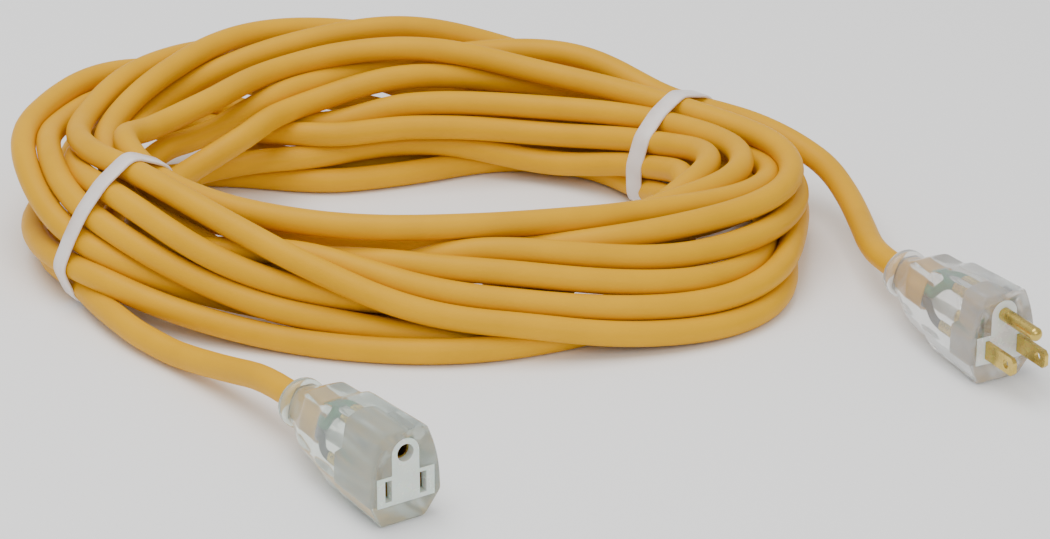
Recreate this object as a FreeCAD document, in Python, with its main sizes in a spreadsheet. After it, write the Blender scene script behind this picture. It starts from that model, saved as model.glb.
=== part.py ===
import FreeCAD, Part
import math
import os
import Sketcher
from FreeCAD import Placement, Rotation, Vector

# A 25 ft outdoor extension cord: a yellow three-wire cord wound into a loose oval coil that two cable
# ties hold, with a clear moulded connector on one end and a clear moulded three-pin plug on the other.
# Everything lies on the ground, which is z = 0. Lengths are in millimetres and angles in degrees.
# The plug and the connector are each modelled along +X, from the back of their collar at x = 0 to
# their face, about their own axis, and then placed where they lie.

SIZES = {
    # cord and its three wires
    "cord_diameter": 9.0,
    "wire_diameter": 3.4,
    "strand_diameter": 2.1,
    "wire_offset": 2.0,
    "play": 0.06,
    "insulation_gap": 0.6,
    # coil: an oval ring with an eccentric hole and a top that slopes down to the right
    "coil_half_length": 141.0,
    "coil_half_depth": 104.0,
    "coil_x": -37.5,
    "coil_y": 60.0,
    "hole_half_length": 93.0,
    "hole_half_depth": 60.0,
    "hole_x": -26.5,
    "hole_y": 54.0,
    "coil_left_height": 49.0,
    "coil_right_height": 39.0,
    "coil_round": 13.0,
    "coil_lift": 1.8,
    # cable ties
    "tie_width": 7.2,
    "tie_thickness": 1.2,
    "tie_round": 13.0,
    "left_tie_angle": 207.0,
    "left_tie_inside_width": 53.6,
    "left_tie_inside_height": 49.0,
    "right_tie_angle": 38.0,
    "right_tie_inside_width": 43.6,
    "right_tie_inside_height": 42.2,
    "tie_head_length": 7.0,
    "tie_head_width": 9.2,
    "tie_head_height": 4.6,
    # moulded bodies, shared by plug and connector
    "axis_height": 16.5,
    "collar_radius": 8.6,
    "collar_length": 3.2,
    "collar_edge": 1.0,
    "collar_overlap": 0.4,
    "neck_radius": 7.3,
    "neck_end": 7.0,
    "grip_start": 17.0,
    "grip_end": 27.0,
    "block_start": 31.0,
    "foot_lean": 2.2,
    "jacket_end_length": 24.0,
    "crimp_radius": 1.9,
    "crimp_length": 7.0,
    "barrel_overlap": 0.8,
    # the inner moulding's outline: a lobe round the ground pin and a foot round the two blades
    "lobe_radius": 5.0,
    "foot_beside": 4.2,
    "foot_above": 1.8,
    "foot_below": 2.0,
    # the three-pin pattern
    "pin_spacing": 12.7,
    "ground_rise": 11.9,
    "pin_line_drop": 3.0,
    "blade_width": 6.35,
    "blade_thickness": 1.5,
    "blade_length": 16.2,
    "blade_hole_radius": 1.55,
    "blade_hole_reach": 11.9,
    "blade_corner": 1.3,
    "ground_pin_radius": 2.4,
    "ground_pin_length": 20.5,
    "ground_root_radius": 2.1,
    "dome_flat": 0.6,
    "pin_tail": 2.0,
    # plug
    "plug_length": 61.0,
    "plug_insert_depth": 14.0,
    # connector
    "connector_length": 65.0,
    "carrier_depth": 24.0,
    "slot_width": 7.4,
    "slot_gap": 2.5,
    "slot_depth": 3.0,
    "pocket_width": 8.2,
    "pocket_gap": 4.6,
    "contact_width": 7.0,
    "contact_leaf": 0.6,
    "contact_gap": 1.3,
    "contact_setback": 0.4,
    "contact_flare": 0.5,
    "contact_flare_length": 3.0,
    "contact_floor": 1.0,
    "socket_radius": 2.6,
    "socket_wall": 0.6,
    "socket_mouth_radius": 3.0,
    # straight stretches of a wire: out of the jacket, into the crimp, and short of the crimp's end
    "wire_out": 2.5,
    "wire_in": 4.0,
    "wire_short": 0.5,
}

# Shape of a moulded body's cross-sections. Each row is where the section stands, what it is a share
# of, and its half flat, half height and half width as shares of that.
BODY_SECTIONS = (
    ("collar_end", "neck_radius", 0.45, 0.97, 0.93),
    ("neck_end", "neck_radius", 0.5, 1.05, 1.0),
    ("grip_start", "axis_height", 0.4, 0.76, 0.66),
    ("grip_end", "axis_height", 0.45, 0.76, 0.7),
    ("block_start", "axis_height", 0.49, 0.88, 0.77),
    ("face", "axis_height", 0.5, 1.0, 0.79),
)
# The crease is this share of the half height below the axis, and a side's radius this many of it.
CREASE_SHARE = 0.44
SIDE_RADIUS_SHARE = 1.15
# Angles of the three wires about the axis as they leave the jacket.
WIRE_ANGLES = {"green": 90, "black": 210, "white": 330}
# Cutting tools run this far past what they cut.
PAST = 2.0
# A half circle drawn to a radius of exactly half its chord has no centre to solve for.
ALMOST_ROUND = 1.0002

# Routes of the two leads, chosen by hand, from inside the coil to the back of each collar. The last
# run of each lies level on the axis of its moulding and gives the way that the face points.
CONNECTOR_LEAD = [
    (-148.6, 4.0, 9.0),
    (-134.4, -22.6, 6.0),
    (-113.0, -44.0, 5.4),
    (-94.8, -64.4, 10.0),
    (-80.2, -84.2, 16.5),
    (-69.1, -101.0, 16.5),
]
PLUG_LEAD = [
    (65.5, 115.5, 31.0),
    (84.5, 110.5, 28.5),
    (102.5, 100.5, 24.0),
    (115.0, 84.0, 20.0),
    (121.0, 64.0, 17.0),
    (124.1, 42.0, 15.6),
    (125.7, 23.0, 16.0),
    (129.3, 10.5, 16.5),
    (135.0, 0.0, 16.5),
]

doc = FreeCAD.newDocument("extension_cord")
sheet = doc.addObject("Spreadsheet::Sheet", "sheet")
for row, (alias, number) in enumerate(SIZES.items(), start=1):
    sheet.set(f"A{row}", alias)
    sheet.set(f"B{row}", str(number))
    sheet.setAlias(f"B{row}", alias)
doc.recompute()


class Size:
    """A number together with the spreadsheet expression that gives it."""

    def __init__(self, number, text):
        self.number = number
        self.text = text

    def __add__(self, other):
        other = as_size(other)
        return Size(self.number + other.number, f"({self.text} + {other.text})")

    def __sub__(self, other):
        other = as_size(other)
        return Size(self.number - other.number, f"({self.text} - {other.text})")

    def __mul__(self, factor):
        return Size(self.number * factor, f"({self.text} * {factor})")

    def __truediv__(self, factor):
        return Size(self.number / factor, f"({self.text} / {factor})")

    def __neg__(self):
        return Size(-self.number, f"(-{self.text})")


def as_size(value):
    return value if isinstance(value, Size) else Size(float(value), str(float(value)))


def size(alias):
    """The spreadsheet cell of that name."""
    return Size(float(sheet.get(alias)), f"sheet.{alias}")


def bind(thing, prop, value):
    thing.setExpression(prop, as_size(value).text)


nodes = []


def part(thing, label, place=None):
    """Name a finished piece and put it where it lies."""
    thing.Label = label
    if place is not None:
        thing.Placement = place
    nodes.append(thing)
    return thing


# ---------------------------------------------------------------- sketches


def origin_plane(body, role):
    return next(item for item in body.Origin.OriginFeatures if item.Role == role)


def sketch_on(body, name, role, shift=0):
    """An empty sketch on an origin plane, or moved along its normal by shift."""
    sketch = body.newObject("Sketcher::SketchObject", name)
    sketch.AttachmentSupport = [(origin_plane(body, role), "")]
    sketch.MapMode = "FlatFace"
    shift = as_size(shift)
    sketch.AttachmentOffset = Placement(Vector(0, 0, shift.number), Rotation())
    bind(sketch, "AttachmentOffset.Base.z", shift)
    return sketch


def pin_point(sketch, edge, end, point):
    """Hold one end of an edge at a point whose coordinates come from the spreadsheet."""
    for kind, value in zip(("DistanceX", "DistanceY"), point):
        value = as_size(value)
        index = sketch.addConstraint(Sketcher.Constraint(kind, -1, 1, edge, end, value.number))
        sketch.setExpression(f"Constraints[{index}]", value.text)


def draw_outline(sketch, corners, arcs=None):
    """A closed outline, anticlockwise. arcs gives the radius of the edge that starts at a corner."""
    arcs = arcs or {}
    points = [Vector(as_size(x).number, as_size(y).number, 0) for x, y in corners]
    first = len(sketch.Geometry)
    count = len(corners)
    for index, start in enumerate(points):
        end = points[(index + 1) % count]
        if index in arcs:
            chord = end - start
            radius = arcs[index].number
            rise = math.sqrt(radius**2 - (chord.Length / 2) ** 2)
            inward = Vector(-chord.y, chord.x, 0).normalize()
            centre = (start + end) * 0.5 + inward * rise
            circle = Part.Circle(centre, Vector(0, 0, 1), radius)
            edge = Part.ArcOfCircle(circle, circle.parameter(start), circle.parameter(end))
        else:
            edge = Part.LineSegment(start, end)
        sketch.addGeometry(edge, False)
    for index in range(count):
        edge = first + index
        following = first + (index + 1) % count
        sketch.addConstraint(Sketcher.Constraint("Coincident", edge, 2, following, 1))
        pin_point(sketch, edge, 1, corners[index])
        if index in arcs:
            held = sketch.addConstraint(Sketcher.Constraint("Radius", edge, arcs[index].number))
            sketch.setExpression(f"Constraints[{held}]", arcs[index].text)


def draw_circle(sketch, centre, radius):
    x, y = as_size(centre[0]), as_size(centre[1])
    circle = Part.Circle(Vector(x.number, y.number, 0), Vector(0, 0, 1), radius.number)
    edge = sketch.addGeometry(circle, False)
    pin_point(sketch, edge, 3, centre)
    held = sketch.addConstraint(Sketcher.Constraint("Radius", edge, radius.number))
    sketch.setExpression(f"Constraints[{held}]", radius.text)


def rectangle(low_x, low_y, high_x, high_y):
    return [(low_x, low_y), (high_x, low_y), (high_x, high_y), (low_x, high_y)]


def rounded_rectangle(half_x, half_y, radius):
    """Corners and arcs of a rectangle about the origin with round corners."""
    in_x = half_x - radius
    in_y = half_y - radius
    corners = [
        (-in_x, -half_y),
        (in_x, -half_y),
        (half_x, -in_y),
        (half_x, in_y),
        (in_x, half_y),
        (-in_x, half_y),
        (-half_x, in_y),
        (-half_x, -in_y),
    ]
    return corners, {1: radius, 3: radius, 5: radius, 7: radius}


def new_body(name):
    return doc.addObject("PartDesign::Body", name)


def pad(body, sketch, length, both_ways=False, backwards=False):
    feature = body.newObject("PartDesign::Pad", "Pad")
    feature.Profile = sketch
    bind(feature, "Length", length)
    feature.Midplane = both_ways
    feature.Reversed = backwards
    sketch.Visibility = False
    return feature


def pocket_through(body, sketch):
    feature = body.newObject("PartDesign::Pocket", "Pocket")
    feature.Profile = sketch
    feature.Type = 1
    feature.Midplane = True
    return feature


# ---------------------------------------------------------------- cord


def rounded_route(points, name):
    """Straight runs joined by arcs as large as the runs allow. Prints the radii."""
    corners = [Vector(*point) for point in points]
    edges = []
    radii = []
    start = corners[0]
    for before, corner, after in zip(corners, corners[1:], corners[2:]):
        to_before = before - corner
        to_after = after - corner
        half_turn = (math.pi - to_before.getAngle(to_after)) / 2
        reach = 0.45 * min(to_before.Length, to_after.Length)
        radii.append(reach / math.tan(half_turn))
        to_before.normalize()
        to_after.normalize()
        arc_start = corner + to_before * reach
        arc_end = corner + to_after * reach
        bisector = (to_before + to_after).normalize()
        centre = corner + bisector * (radii[-1] / math.cos(half_turn))
        arc_middle = centre - bisector * radii[-1]
        edges.append(Part.LineSegment(start, arc_start).toShape())
        edges.append(Part.Arc(arc_start, arc_middle, arc_end).toShape())
        start = arc_end
    edges.append(Part.LineSegment(start, corners[-1]).toShape())
    if name:
        print(name, "radii", [round(radius) for radius in radii])
    return Part.Wire(edges)


def tube(points, radius, name=""):
    """A round bar along a route."""
    path = rounded_route(points, name)
    direction = Vector(*points[1]) - Vector(*points[0])
    ring = Part.Wire(Part.makeCircle(radius, Vector(*points[0]), direction))
    shape = path.makePipeShell([ring], True, True)
    expected = math.pi * radius**2 * path.Length
    if name:
        print(name, f"length {path.Length:.1f} volume ratio {shape.Volume / expected:.4f}")
    return shape


def shaped(label, shape, place=None):
    feature = doc.addObject("Part::Feature", label)
    feature.Shape = shape
    return part(feature, label, place)


def make_coil():
    """The oval ring that the turns fill, lifted off the ground by the ties under it."""

    def oval(name, half_length, half_depth, centre_x, centre_y):
        outline = doc.addObject("Part::Ellipse", name + "_outline")
        bind(outline, "MajorRadius", half_length)
        bind(outline, "MinorRadius", half_depth)
        bind(outline, "Placement.Base.x", centre_x)
        bind(outline, "Placement.Base.y", centre_y)
        bind(outline, "Placement.Base.z", size("coil_lift"))
        column = doc.addObject("Part::Extrusion", name)
        column.Base = outline
        column.DirMode = "Custom"
        column.Dir = Vector(0, 0, 1)
        column.Solid = True
        bind(column, "LengthFwd", size("coil_left_height"))
        return column

    outside = oval("coil_outside", size("coil_half_length"), size("coil_half_depth"),
                   size("coil_x"), size("coil_y"))
    hole = oval("coil_hole", size("hole_half_length"), size("hole_half_depth"),
                size("hole_x"), size("hole_y"))
    ring = doc.addObject("Part::Cut", "coil_ring")
    ring.Base = outside
    ring.Tool = hole
    # The wedge's own y runs from the left end of the coil to the right end.
    slope = doc.addObject("Part::Wedge", "coil_slope")
    for prop in ("Xmin", "X2min"):
        bind(slope, prop, -size("coil_half_depth"))
    for prop in ("Xmax", "X2max"):
        bind(slope, prop, size("coil_half_depth"))
    bind(slope, "Ymin", 0)
    bind(slope, "Ymax", size("coil_half_length") * 2)
    bind(slope, "Zmin", 0)
    bind(slope, "Z2min", 0)
    bind(slope, "Zmax", size("coil_left_height"))
    bind(slope, "Z2max", size("coil_right_height"))
    slope.Placement = Placement(Vector(), Rotation(Vector(0, 0, 1), -90))
    bind(slope, "Placement.Base.x", size("coil_x") - size("coil_half_length"))
    bind(slope, "Placement.Base.y", size("coil_y"))
    bind(slope, "Placement.Base.z", size("coil_lift"))
    sloped = doc.addObject("Part::MultiCommon", "coil_sloped")
    sloped.Shapes = [ring, slope]
    doc.recompute()
    rounded = doc.addObject("Part::Fillet", "cord_coil")
    rounded.Base = sloped
    radius = size("coil_round").number
    rims = [
        (index, radius, radius)
        for index, edge in enumerate(sloped.Shape.Edges, start=1)
        if edge.Length > 2 * size("coil_left_height").number
    ]
    rounded.Edges = rims
    part(rounded, "cord_coil")


def tie_place(angle):
    """Across the coil at that angle round it. The strap's own x points out of the coil."""
    turn = math.radians(angle.number)
    outward = Vector(
        math.cos(turn) / SIZES["coil_half_length"], math.sin(turn) / SIZES["coil_half_depth"], 0
    ).normalize()
    half_length = (SIZES["coil_half_length"] + SIZES["hole_half_length"]) / 2
    half_depth = (SIZES["coil_half_depth"] + SIZES["hole_half_depth"]) / 2
    middle_x = (SIZES["coil_x"] + SIZES["hole_x"]) / 2
    middle_y = (SIZES["coil_y"] + SIZES["hole_y"]) / 2
    at = Vector(middle_x + half_length * math.cos(turn), middle_y + half_depth * math.sin(turn), 0)
    # The body's XZ plane is the plane across the coil.
    heading = math.degrees(math.atan2(outward.y, outward.x))
    return Placement(at, Rotation(Vector(0, 0, 1), heading))


def make_tie(label, angle, inside_width, inside_height, head_side):
    """A flat nylon strap closed round the coil, with its locking head low on one side."""
    body = new_body(label)
    half_width = inside_width / 2
    half_height = inside_height / 2
    thick = size("tie_thickness")
    strap = sketch_on(body, "strap", "XZ_Plane")
    middle = half_height + thick
    for half_x, half_y, radius in (
        (half_width + thick, half_height + thick, size("tie_round") + thick),
        (half_width, half_height, size("tie_round")),
    ):
        corners, arcs = rounded_rectangle(half_x, half_y, radius)
        draw_outline(strap, corners, arcs)
    pad(body, strap, size("tie_width"), both_ways=True)
    head = sketch_on(body, "head", "XZ_Plane")
    face = (half_width + thick / 2) * head_side
    back = (half_width + thick / 2 + size("tie_head_height")) * head_side
    low, high = (face, back) if head_side > 0 else (back, face)
    half_length = size("tie_head_length") / 2
    draw_outline(head, rectangle(low, -half_length, high, half_length))
    pad(body, head, size("tie_head_width"), both_ways=True)
    place = tie_place(angle)
    place.Base.z = middle.number
    return part(body, label, place)


# ---------------------------------------------------------------- moulded bodies


def body_section(body, name, station, half_flat, half_height, half_width):
    """One cross-section of a moulded body: flat top and bottom, bulging sides, a low crease."""
    crease = half_height * CREASE_SHARE
    side_radius = half_height * SIDE_RADIUS_SHARE
    corners = [
        (-half_flat, -half_height),
        (half_flat, -half_height),
        (half_width, -crease),
        (half_flat, half_height),
        (-half_flat, half_height),
        (-half_width, -crease),
    ]
    sketch = sketch_on(body, name, "YZ_Plane", station)
    draw_outline(sketch, corners, {2: side_radius, 4: side_radius})
    return sketch


def moulded_body(name, length):
    """Collar, neck, finger grip and block, lofted along the axis."""
    body = new_body(name)
    stations = {"collar_end": size("collar_length") - size("collar_overlap"), "face": length}
    sections = []
    for name, whole, flat, tall, wide in BODY_SECTIONS:
        station = stations.get(name) or size(name)
        whole = size(whole)
        sections.append(body_section(body, name, station, whole * flat, whole * tall, whole * wide))
    loft = body.newObject("PartDesign::AdditiveLoft", "Loft")
    loft.Profile = sections[0]
    loft.Sections = sections[1:]
    loft.Ruled = True
    collar = sketch_on(body, "collar", "XZ_Plane")
    radius = size("collar_radius")
    thick = size("collar_length")
    edge = size("collar_edge")
    corners = [
        (0, 0),
        (thick, 0),
        (thick, radius - edge),
        (thick - edge, radius),
        (edge, radius),
        (0, radius - edge),
    ]
    draw_outline(collar, corners, {2: edge, 4: edge})
    spin = body.newObject("PartDesign::Revolution", "Collar")
    spin.Profile = collar
    spin.ReferenceAxis = (collar, ["H_Axis"])
    spin.Angle = 360
    # The foot of the face leans back from the crease to the flat that it stands on.
    foot = sketch_on(body, "foot", "XZ_Plane")
    tall = size("axis_height")
    crease = -tall * CREASE_SHARE
    corners = [
        (length - size("foot_lean"), -tall),
        (length + PAST, -tall - PAST),
        (length + PAST, crease),
        (length, crease),
    ]
    draw_outline(foot, corners)
    pocket_through(body, foot)
    doc.recompute()
    return body


def wire_spots():
    """Where the three wires leave the jacket: ground on top, line and neutral below."""
    offset = SIZES["wire_offset"]
    return {
        name: (offset * math.cos(math.radians(turn)), offset * math.sin(math.radians(turn)))
        for name, turn in WIRE_ANGLES.items()
    }


def pin_spots():
    """Where each wire's pin or contact sits: across and up from the axis."""
    half = SIZES["pin_spacing"] / 2
    drop = -SIZES["pin_line_drop"]
    return {"green": (0.0, drop + SIZES["ground_rise"]), "black": (-half, drop), "white": (half, drop)}


def wire_route(colour, crimp_at):
    """From the end of the jacket out to the crimp, with a straight lead into each."""
    start = SIZES["jacket_end_length"] + SIZES["play"]
    y_in, z_in = wire_spots()[colour]
    y_out, z_out = pin_spots()[colour]
    return [
        (start, y_in, z_in),
        (start + SIZES["wire_out"], y_in, z_in),
        (crimp_at - SIZES["wire_in"], y_out, z_out),
        (crimp_at + SIZES["crimp_length"] - SIZES["wire_short"], y_out, z_out),
    ]


def wire_sleeve(colour, crimp_at, radius):
    """A round bar along the wire, from the jacket to just short of the crimp."""
    bar = tube(wire_route(colour, crimp_at), radius)
    reach = crimp_at - SIZES["insulation_gap"]
    side = SIZES["axis_height"] * 2
    return bar.common(Part.makeBox(reach, side, side, Vector(0, -side / 2, -side / 2)))


def make_wires(prefix, crimp_at, place):
    """Three insulated wires and their copper, fanned out from the jacket to the crimps."""
    copper_radius = SIZES["strand_diameter"] / 2
    for colour in WIRE_ANGLES:
        route = wire_route(colour, crimp_at)
        sleeve = wire_sleeve(colour, crimp_at, SIZES["wire_diameter"] / 2)
        bore = tube(route, copper_radius + SIZES["play"] / 2)
        shaped(f"{prefix}_{colour}_insulation", sleeve.cut(bore), place)
        shaped(f"{prefix}_{colour}_copper", tube(route, copper_radius), place)


def make_jacket_end(prefix, place):
    jacket = doc.addObject("Part::Cylinder", prefix + "_jacket_end")
    bind(jacket, "Radius", size("cord_diameter") / 2)
    bind(jacket, "Height", size("jacket_end_length"))
    turned = Placement(Vector(), Rotation(Vector(0, 1, 0), 90))
    part(jacket, prefix + "_jacket_end", place.multiply(turned))


def core_envelope(crimp_at, insert_box):
    """All that the moulding closes round, with a hair of play, as one solid to cut from it."""
    play = SIZES["play"]
    axis = Vector(1, 0, 0)
    jacket = Part.makeCylinder(
        SIZES["cord_diameter"] / 2 + play,
        SIZES["jacket_end_length"] + PAST + play,
        Vector(-PAST, 0, 0),
        axis,
    )
    pieces = []
    for colour in WIRE_ANGLES:
        pieces.append(tube(wire_route(colour, crimp_at), SIZES["wire_diameter"] / 2 + play))
        y_out, z_out = pin_spots()[colour]
        pieces.append(
            Part.makeCylinder(
                SIZES["crimp_radius"] + play,
                SIZES["crimp_length"] + 3 * PAST,
                Vector(crimp_at - play, y_out, z_out),
                axis,
            )
        )
    return jacket.multiFuse(pieces + [insert_box]).removeSplitter()


def cut_core(body, core, label, place):
    """Take the core out of a moulded body."""
    hollow = doc.addObject("Part::Feature", label + "_core")
    hollow.Shape = core
    result = doc.addObject("Part::Cut", label)
    result.Base = body
    result.Tool = hollow
    return part(result, label, place)


def insert_outline(sketch, play):
    """A round lobe for the ground pin over a broad foot for the two blades."""
    half_foot = size("pin_spacing") / 2 + size("foot_beside") + play
    foot_top = size("blade_width") / 2 + size("foot_above") - size("pin_line_drop") + play
    foot_bottom = -size("pin_line_drop") - size("blade_width") / 2 - size("foot_below") - play
    lobe = size("lobe_radius") + play
    lobe_height = size("ground_rise") - size("pin_line_drop")
    corners = [
        (-half_foot, foot_bottom),
        (half_foot, foot_bottom),
        (half_foot, foot_top),
        (lobe, foot_top),
        (lobe, lobe_height),
        (-lobe, lobe_height),
        (-lobe, foot_top),
        (-half_foot, foot_top),
    ]
    draw_outline(sketch, corners, {4: lobe * ALMOST_ROUND})


def make_insert(name, length, depth, play):
    """The inner moulding that holds the pins or contacts, flush with the face."""
    body = new_body(name)
    sketch = sketch_on(body, "outline", "YZ_Plane", length)
    insert_outline(sketch, play)
    pad(body, sketch, depth + play, backwards=True)
    doc.recompute()
    return body


# ---------------------------------------------------------------- plug


def draw_barrel(body, sketch):
    """A round crimp barrel about the axis, open for the strands, into the back of a contact."""
    draw_circle(sketch, (0, 0), size("crimp_radius"))
    draw_circle(sketch, (0, 0), size("strand_diameter") / 2 + size("play") / 2)
    pad(body, sketch, size("crimp_length") + size("barrel_overlap"))


def make_blade(label, colour, place):
    """A flat brass blade with a hole near its tip and a crimp barrel on its tail."""
    body = new_body(label)
    length = size("plug_length")
    root = length - size("plug_insert_depth") - size("pin_tail")
    tip = length + size("blade_length")
    half = size("blade_width") / 2
    corner = size("blade_corner")
    outline = sketch_on(body, "outline", "XZ_Plane")
    corners = [
        (root, -half),
        (tip - corner, -half),
        (tip, -half + corner),
        (tip, half - corner),
        (tip - corner, half),
        (root, half),
    ]
    draw_outline(outline, corners)
    draw_circle(outline, (length + size("blade_hole_reach"), 0), size("blade_hole_radius"))
    pad(body, outline, size("blade_thickness"), both_ways=True)
    barrel = sketch_on(body, "barrel", "YZ_Plane", root - size("crimp_length"))
    draw_barrel(body, barrel)
    y_at, z_at = pin_spots()[colour]
    return part(body, label, place.multiply(Placement(Vector(0, y_at, z_at), Rotation())))


def make_ground_pin(label, place):
    """A round brass pin, thinner inside the plug, with a domed tip and a crimp barrel on its tail."""
    body = new_body(label)
    radius = size("ground_pin_radius")
    root_radius = size("ground_root_radius")
    length = size("plug_length")
    root = length - size("plug_insert_depth") - size("pin_tail")
    tip = length + size("ground_pin_length")
    bore = size("strand_diameter") / 2 + size("play") / 2
    start = root - size("crimp_length")
    profile = sketch_on(body, "profile", "XZ_Plane")
    corners = [
        (root, 0),
        (tip - size("dome_flat"), 0),
        (tip - radius, radius),
        (length, radius),
        (length, root_radius),
        (root, root_radius),
        (root, size("crimp_radius")),
        (start, size("crimp_radius")),
        (start, bore),
        (root, bore),
    ]
    draw_outline(profile, corners, {1: radius})
    spin = body.newObject("PartDesign::Revolution", "Pin")
    spin.Profile = profile
    spin.ReferenceAxis = (profile, ["H_Axis"])
    spin.Angle = 360
    y_at, z_at = pin_spots()["green"]
    return part(body, label, place.multiply(Placement(Vector(0, y_at, z_at), Rotation())))


def pin_clearances(length, depth):
    """Room in the insert for the two blades and the ground pin."""
    play = SIZES["play"]
    thick = SIZES["blade_thickness"] / 2 + play
    half = SIZES["blade_width"] / 2 + play
    start = length - depth - SIZES["pin_tail"] - play
    reach = length + PAST - start
    cuts = []
    for colour in ("black", "white"):
        y_at, z_at = pin_spots()[colour]
        corner = Vector(start, y_at - thick, z_at - half)
        cuts.append(Part.makeBox(reach, 2 * thick, 2 * half, corner))
    y_at, z_at = pin_spots()["green"]
    centre = Vector(start, y_at, z_at)
    cuts.append(Part.makeCylinder(SIZES["ground_root_radius"] + play, reach, centre, Vector(1, 0, 0)))
    return cuts[0].multiFuse(cuts[1:])


def lead_end(route):
    """The place of the moulding at the end of a lead, pointing along the lead's last run."""
    before, end = Vector(*route[-2]), Vector(*route[-1])
    run = end - before
    return Placement(end, Rotation(Vector(0, 0, 1), math.degrees(math.atan2(run.y, run.x))))


def make_plug():
    place = lead_end(PLUG_LEAD)
    length = SIZES["plug_length"]
    depth = SIZES["plug_insert_depth"]
    crimp_at = length - depth - SIZES["pin_tail"] - SIZES["crimp_length"]
    room = make_insert("plug_insert_room", size("plug_length"), size("plug_insert_depth"), SIZES["play"])
    core = core_envelope(crimp_at, room.Shape)
    shell = moulded_body("plug_shell", size("plug_length"))
    pins = pin_clearances(length, depth)
    cut_core(shell, core.fuse(pins), "plug_body", place)
    block = make_insert("plug_block", size("plug_length"), size("plug_insert_depth"), 0)
    cut_core(block, pins, "plug_insert", place)
    make_blade("plug_line_blade", "black", place)
    make_blade("plug_neutral_blade", "white", place)
    make_ground_pin("plug_ground_pin", place)
    make_jacket_end("plug", place)
    make_wires("plug", crimp_at, place)


# ---------------------------------------------------------------- connector


def make_blade_contact(label, colour, place):
    """Two sprung brass leaves joined at the back, with a crimp barrel on the tail."""
    body = new_body(label)
    length = size("connector_length")
    back = length - size("carrier_depth") + size("contact_floor")
    front = length - size("slot_depth") - size("contact_setback")
    leaf = size("contact_leaf")
    gap = size("contact_gap") / 2
    outer = gap + leaf
    bend = front - size("contact_flare_length")
    flare = size("contact_flare")
    outline = sketch_on(body, "leaves", "XY_Plane")
    corners = [
        (back, -outer),
        (bend, -outer),
        (front, -outer - flare),
        (front, -gap - flare),
        (bend, -gap),
        (back + leaf, -gap),
        (back + leaf, gap),
        (bend, gap),
        (front, gap + flare),
        (front, outer + flare),
        (bend, outer),
        (back, outer),
    ]
    draw_outline(outline, corners)
    pad(body, outline, size("contact_width"), both_ways=True)
    barrel = sketch_on(body, "barrel", "YZ_Plane", back - size("crimp_length"))
    draw_barrel(body, barrel)
    y_at, z_at = pin_spots()[colour]
    return part(body, label, place.multiply(Placement(Vector(0, y_at, z_at), Rotation())))


def make_ground_contact(label, place):
    """A brass sleeve for the ground pin, with a crimp barrel on the tail."""
    body = new_body(label)
    length = size("connector_length")
    back = length - size("carrier_depth") + size("contact_floor")
    front = length - size("slot_depth") - size("contact_setback")
    inside = size("socket_radius")
    outside = inside + size("socket_wall")
    start = back - size("crimp_length")
    bore = size("strand_diameter") / 2 + size("play") / 2
    profile = sketch_on(body, "profile", "XZ_Plane")
    corners = [
        (start, bore),
        (back + size("barrel_overlap"), bore),
        (back + size("barrel_overlap"), inside),
        (front, inside),
        (front, outside),
        (back, outside),
        (back, size("crimp_radius")),
        (start, size("crimp_radius")),
    ]
    draw_outline(profile, corners)
    spin = body.newObject("PartDesign::Revolution", "Sleeve")
    spin.Profile = profile
    spin.ReferenceAxis = (profile, ["H_Axis"])
    spin.Angle = 360
    y_at, z_at = pin_spots()["green"]
    return part(body, label, place.multiply(Placement(Vector(0, y_at, z_at), Rotation())))


def contact_pockets(length, depth):
    """The slots and the ground hole in the face, and the pockets that hold the contacts behind."""
    back = length - depth - PAST
    mouth = length - SIZES["slot_depth"]
    cuts = []
    for colour in ("black", "white"):
        y_at, z_at = pin_spots()[colour]
        for start, end, gap, width in (
            (back, mouth, SIZES["pocket_gap"], SIZES["pocket_width"]),
            (mouth - SIZES["play"], length + PAST, SIZES["slot_gap"], SIZES["slot_width"]),
        ):
            corner = Vector(start, y_at - gap / 2, z_at - width / 2)
            cuts.append(Part.makeBox(end - start, gap, width, corner))
    y_at, z_at = pin_spots()["green"]
    sleeve = SIZES["socket_radius"] + SIZES["socket_wall"] + SIZES["play"]
    axis = Vector(1, 0, 0)
    cuts.append(Part.makeCylinder(sleeve, mouth - back, Vector(back, y_at, z_at), axis))
    hole = SIZES["socket_mouth_radius"]
    cuts.append(Part.makeCylinder(hole, length + PAST - mouth, Vector(mouth, y_at, z_at), axis))
    return cuts[0].multiFuse(cuts[1:])


def make_connector():
    place = lead_end(CONNECTOR_LEAD)
    length = SIZES["connector_length"]
    depth = SIZES["carrier_depth"]
    crimp_at = length - depth + SIZES["contact_floor"] - SIZES["crimp_length"]
    room = make_insert("carrier_room", size("connector_length"), size("carrier_depth"), SIZES["play"])
    core = core_envelope(crimp_at, room.Shape)
    shell = moulded_body("connector_shell", size("connector_length"))
    cut_core(shell, core, "connector_body", place)
    block = make_insert("carrier_block", size("connector_length"), size("carrier_depth"), 0)
    cut_core(block, contact_pockets(length, depth), "connector_carrier", place)
    make_blade_contact("connector_line_contact", "black", place)
    make_blade_contact("connector_neutral_contact", "white", place)
    make_ground_contact("connector_ground_contact", place)
    make_jacket_end("connector", place)
    make_wires("connector", crimp_at, place)


make_coil()
shaped("connector_lead", tube(CONNECTOR_LEAD, SIZES["cord_diameter"] / 2, "connector_lead"))
shaped("plug_lead", tube(PLUG_LEAD, SIZES["cord_diameter"] / 2, "plug_lead"))
for side, head_side in (("left", -1), ("right", 1)):
    make_tie(
        f"{side}_cable_tie",
        size(f"{side}_tie_angle"),
        size(f"{side}_tie_inside_width"),
        size(f"{side}_tie_inside_height"),
        head_side,
    )
make_plug()
make_connector()
doc.recompute()

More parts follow.
